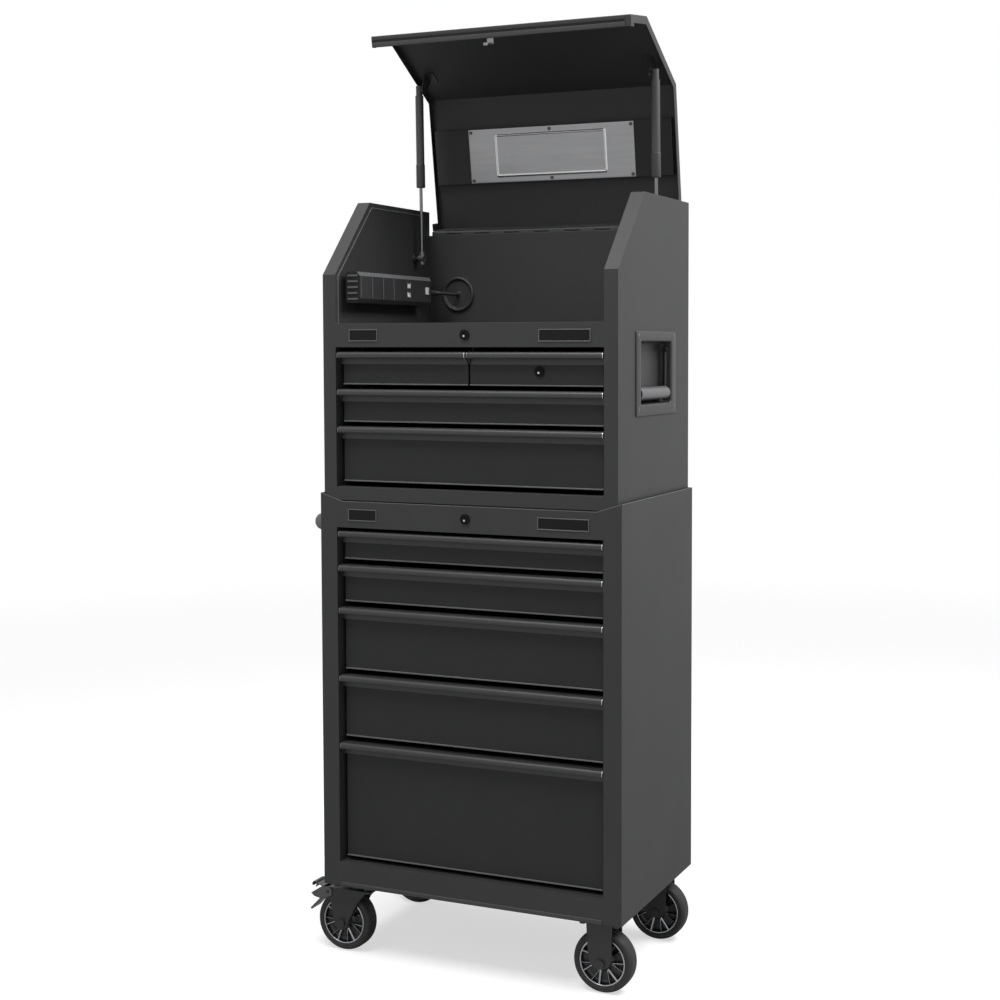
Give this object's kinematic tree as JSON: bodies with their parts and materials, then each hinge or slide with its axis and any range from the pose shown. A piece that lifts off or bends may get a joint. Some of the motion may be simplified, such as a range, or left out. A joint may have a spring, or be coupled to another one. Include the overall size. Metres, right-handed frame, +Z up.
{
  "type": "rolling tool chest",
  "caption": "Rolling steel tool chest: a lidded top chest with tray and drawers on a roll cabinet with drawers, side handles and castors, shown with its lid open.",
  "frame": {"origin": "middle of the object's foot on the floor: the bottom centre of its bounding box with the lid open, without the power cord", "axes": "+Z up, -Y towards the drawer fronts, +X to the right as seen from the front"},
  "size_m": [0.616, 0.4905, 1.6213],
  "materials": {
    "body_paint": "fine-textured powder coat",
    "inner_paint": "satin paint",
    "drawer_paint": "fine-textured powder coat",
    "pull_paint": "satin paint with bright end caps",
    "dish_paint": "satin paint",
    "zinc": "zinc-plated steel",
    "castor_steel": "dark plated steel",
    "rim_chrome": "polished",
    "tyre_rubber": "moulded rubber",
    "handle_metal": "satin metal",
    "badge_metal": "dark satin with a bright raised border, blank",
    "plate_metal": "brushed, blank",
    "lock_metal": "black nickel",
    "rod_chrome": "polished",
    "strut_paint": "semi-gloss paint",
    "bar_plastic": "moulded plastic",
    "switch_plastic": "moulded plastic",
    "grommet_plastic": "moulded plastic",
    "cord_jacket": "soft jacket",
    "plug_plastic": "moulded plastic with plated pins"
  },
  "bodies": {
    "cabinet": {"cab_shell": "body_paint", "cab_back": "inner_paint", "chest_shell": "body_paint", "tray_floor": "inner_paint", "slide_rails": "zinc", "rigid_forks": "castor_steel", "swivel_plates": "castor_steel", "push_handle": "handle_metal", "handle_dishes": "dish_paint", "badges": "badge_metal", "piano_hinge": "body_paint", "power_bar": "bar_plastic", "grommet": "grommet_plastic", "cord": "cord_jacket", "cord_coil": "cord_jacket", "plug": "plug_plastic"},
    "lid": {"lid": "body_paint", "lid_channel": "inner_paint", "lid_plate": "plate_metal", "lid_fittings": "zinc"},
    "strut_rod_left": {"strut_rod_left": "rod_chrome"},
    "strut_tube_left": {"strut_tube_left": "strut_paint"},
    "bail_left": {"bail_left": "handle_metal"},
    "strut_rod_right": {"strut_rod_right": "rod_chrome"},
    "strut_tube_right": {"strut_tube_right": "strut_paint"},
    "bail_right": {"bail_right": "handle_metal"},
    "cab_drawer_1": {"cab_drawer_1": "drawer_paint", "cab_pull_1": "pull_paint"},
    "cab_drawer_2": {"cab_drawer_2": "drawer_paint", "cab_pull_2": "pull_paint"},
    "cab_drawer_3": {"cab_drawer_3": "drawer_paint", "cab_pull_3": "pull_paint"},
    "cab_drawer_4": {"cab_drawer_4": "drawer_paint", "cab_pull_4": "pull_paint"},
    "cab_drawer_5": {"cab_drawer_5": "drawer_paint", "cab_pull_5": "pull_paint"},
    "chest_drawer_1_left": {"chest_drawer_1_left": "drawer_paint", "chest_pull_1_left": "pull_paint"},
    "chest_drawer_1_right": {"chest_drawer_1_right": "drawer_paint", "chest_pull_1_right": "pull_paint"},
    "chest_drawer_2": {"chest_drawer_2": "drawer_paint", "chest_pull_2": "pull_paint"},
    "chest_drawer_3": {"chest_drawer_3": "drawer_paint", "chest_pull_3": "pull_paint"},
    "chest_lock": {"chest_lock": "lock_metal"},
    "cab_lock": {"cab_lock": "lock_metal"},
    "drawer_lock": {"drawer_lock": "lock_metal"},
    "power_switch": {"power_switch": "switch_plastic"},
    "swivel_front": {"swivel_fork_front": "castor_steel"},
    "brake_front": {"brake_pedal_front": "castor_steel"},
    "wheel_front_left": {"tyre_front_left": "tyre_rubber", "rim_front_left": "rim_chrome"},
    "wheel_front_right": {"tyre_front_right": "tyre_rubber", "rim_front_right": "rim_chrome"},
    "swivel_rear": {"swivel_fork_rear": "castor_steel"},
    "brake_rear": {"brake_pedal_rear": "castor_steel"},
    "wheel_rear_left": {"tyre_rear_left": "tyre_rubber", "rim_rear_left": "rim_chrome"},
    "wheel_rear_right": {"tyre_rear_right": "tyre_rubber", "rim_rear_right": "rim_chrome"}
  },
  "joints": [
    {"name": "lid_hinge", "type": "hinge", "parent": "cabinet", "child": "lid", "pos_m": [0.0245, 0.15281, 1.2791], "axis": [-1, 0, 0], "range_deg": [-81.6, 0], "stiffness_Nm_per_rad": 9, "springref_deg": 51.57},
    {"name": "strut_turn_left", "type": "hinge", "parent": "cabinet", "child": "strut_rod_left", "pos_m": [-0.209, 0.09181, 1.2285], "axis": [-1, 0, 0], "range_deg": [-83.2, 0]},
    {"name": "strut_slide_left", "type": "slide", "parent": "strut_rod_left", "child": "strut_tube_left", "axis": [0, -0.0226, 0.9997], "range_m": [-0.104, 0]},
    {"name": "strut_turn_right", "type": "hinge", "parent": "cabinet", "child": "strut_rod_right", "pos_m": [0.258, 0.09181, 1.2285], "axis": [-1, 0, 0], "range_deg": [-83.2, 0]},
    {"name": "strut_slide_right", "type": "slide", "parent": "strut_rod_right", "child": "strut_tube_right", "axis": [0, -0.0226, 0.9997], "range_m": [-0.104, 0]},
    {"name": "cab_drawer_1_slide", "type": "slide", "parent": "cabinet", "child": "cab_drawer_1", "axis": [0, -1, 0], "range_m": [0, 0.22]},
    {"name": "cab_drawer_2_slide", "type": "slide", "parent": "cabinet", "child": "cab_drawer_2", "axis": [0, -1, 0], "range_m": [0, 0.22]},
    {"name": "cab_drawer_3_slide", "type": "slide", "parent": "cabinet", "child": "cab_drawer_3", "axis": [0, -1, 0], "range_m": [0, 0.22]},
    {"name": "cab_drawer_4_slide", "type": "slide", "parent": "cabinet", "child": "cab_drawer_4", "axis": [0, -1, 0], "range_m": [0, 0.22]},
    {"name": "cab_drawer_5_slide", "type": "slide", "parent": "cabinet", "child": "cab_drawer_5", "axis": [0, -1, 0], "range_m": [0, 0.22]},
    {"name": "chest_drawer_1_left_slide", "type": "slide", "parent": "cabinet", "child": "chest_drawer_1_left", "axis": [0, -1, 0], "range_m": [0, 0.22]},
    {"name": "chest_drawer_1_right_slide", "type": "slide", "parent": "cabinet", "child": "chest_drawer_1_right", "axis": [0, -1, 0], "range_m": [0, 0.22]},
    {"name": "chest_drawer_2_slide", "type": "slide", "parent": "cabinet", "child": "chest_drawer_2", "axis": [0, -1, 0], "range_m": [0, 0.22]},
    {"name": "chest_drawer_3_slide", "type": "slide", "parent": "cabinet", "child": "chest_drawer_3", "axis": [0, -1, 0], "range_m": [0, 0.22]},
    {"name": "chest_lock_turn", "type": "hinge", "parent": "cabinet", "child": "chest_lock", "pos_m": [0.0245, -0.18719, 1.0835], "axis": [0, -1, 0], "range_deg": [0, 90]},
    {"name": "cab_lock_turn", "type": "hinge", "parent": "cabinet", "child": "cab_lock", "pos_m": [0.0245, -0.18719, 0.7775], "axis": [0, -1, 0], "range_deg": [0, 90]},
    {"name": "drawer_lock_turn", "type": "hinge", "parent": "chest_drawer_1_right", "child": "drawer_lock", "pos_m": [0.15325, -0.17169, 1.0232], "axis": [0, -1, 0], "range_deg": [0, 90]},
    {"name": "switch_rock", "type": "hinge", "parent": "cabinet", "child": "power_switch", "pos_m": [-0.19, 0.07281, 1.167], "axis": [0, 0, 1], "range_deg": [-16, 0]},
    {"name": "bail_swing_left", "type": "hinge", "parent": "cabinet", "child": "bail_left", "pos_m": [-0.2395, -0.01719, 1.0585], "axis": [0, 1, 0], "range_deg": [0, 90]},
    {"name": "bail_swing_right", "type": "hinge", "parent": "cabinet", "child": "bail_right", "pos_m": [0.2885, -0.01719, 1.0585], "axis": [0, -1, 0], "range_deg": [0, 90]},
    {"name": "swivel_turn_front", "type": "hinge", "parent": "cabinet", "child": "swivel_front", "pos_m": [-0.21, -0.14669, 0.1125], "axis": [0, 0, 1], "continuous": true},
    {"name": "brake_press_front", "type": "hinge", "parent": "swivel_front", "child": "brake_front", "pos_m": [-0.2598, -0.14669, 0.1055], "axis": [0, -1, 0], "range_deg": [0, 7]},
    {"name": "wheel_spin_front_left", "type": "hinge", "parent": "swivel_front", "child": "wheel_front_left", "pos_m": [-0.234, -0.14669, 0.0525], "axis": [0, 1, 0], "continuous": true},
    {"name": "wheel_spin_front_right", "type": "hinge", "parent": "cabinet", "child": "wheel_front_right", "pos_m": [0.259, -0.14669, 0.0525], "axis": [0, 1, 0], "continuous": true},
    {"name": "swivel_turn_rear", "type": "hinge", "parent": "cabinet", "child": "swivel_rear", "pos_m": [-0.21, 0.10931, 0.1125], "axis": [0, 0, 1], "continuous": true},
    {"name": "brake_press_rear", "type": "hinge", "parent": "swivel_rear", "child": "brake_rear", "pos_m": [-0.2598, 0.10931, 0.1055], "axis": [0, -1, 0], "range_deg": [0, 7]},
    {"name": "wheel_spin_rear_left", "type": "hinge", "parent": "swivel_rear", "child": "wheel_rear_left", "pos_m": [-0.234, 0.10931, 0.0525], "axis": [0, 1, 0], "continuous": true},
    {"name": "wheel_spin_rear_right", "type": "hinge", "parent": "cabinet", "child": "wheel_rear_right", "pos_m": [0.259, 0.10931, 0.0525], "axis": [0, 1, 0], "continuous": true}
  ],
  "couplings": [
    {"joint": "strut_turn_left", "follows": "lid_hinge", "ratio": 1.0149},
    {"joint": "strut_slide_left", "follows": "lid_hinge", "m_per_rad": 0.072627},
    {"joint": "strut_turn_right", "follows": "lid_hinge", "ratio": 1.0149},
    {"joint": "strut_slide_right", "follows": "lid_hinge", "m_per_rad": 0.072627}
  ]
}
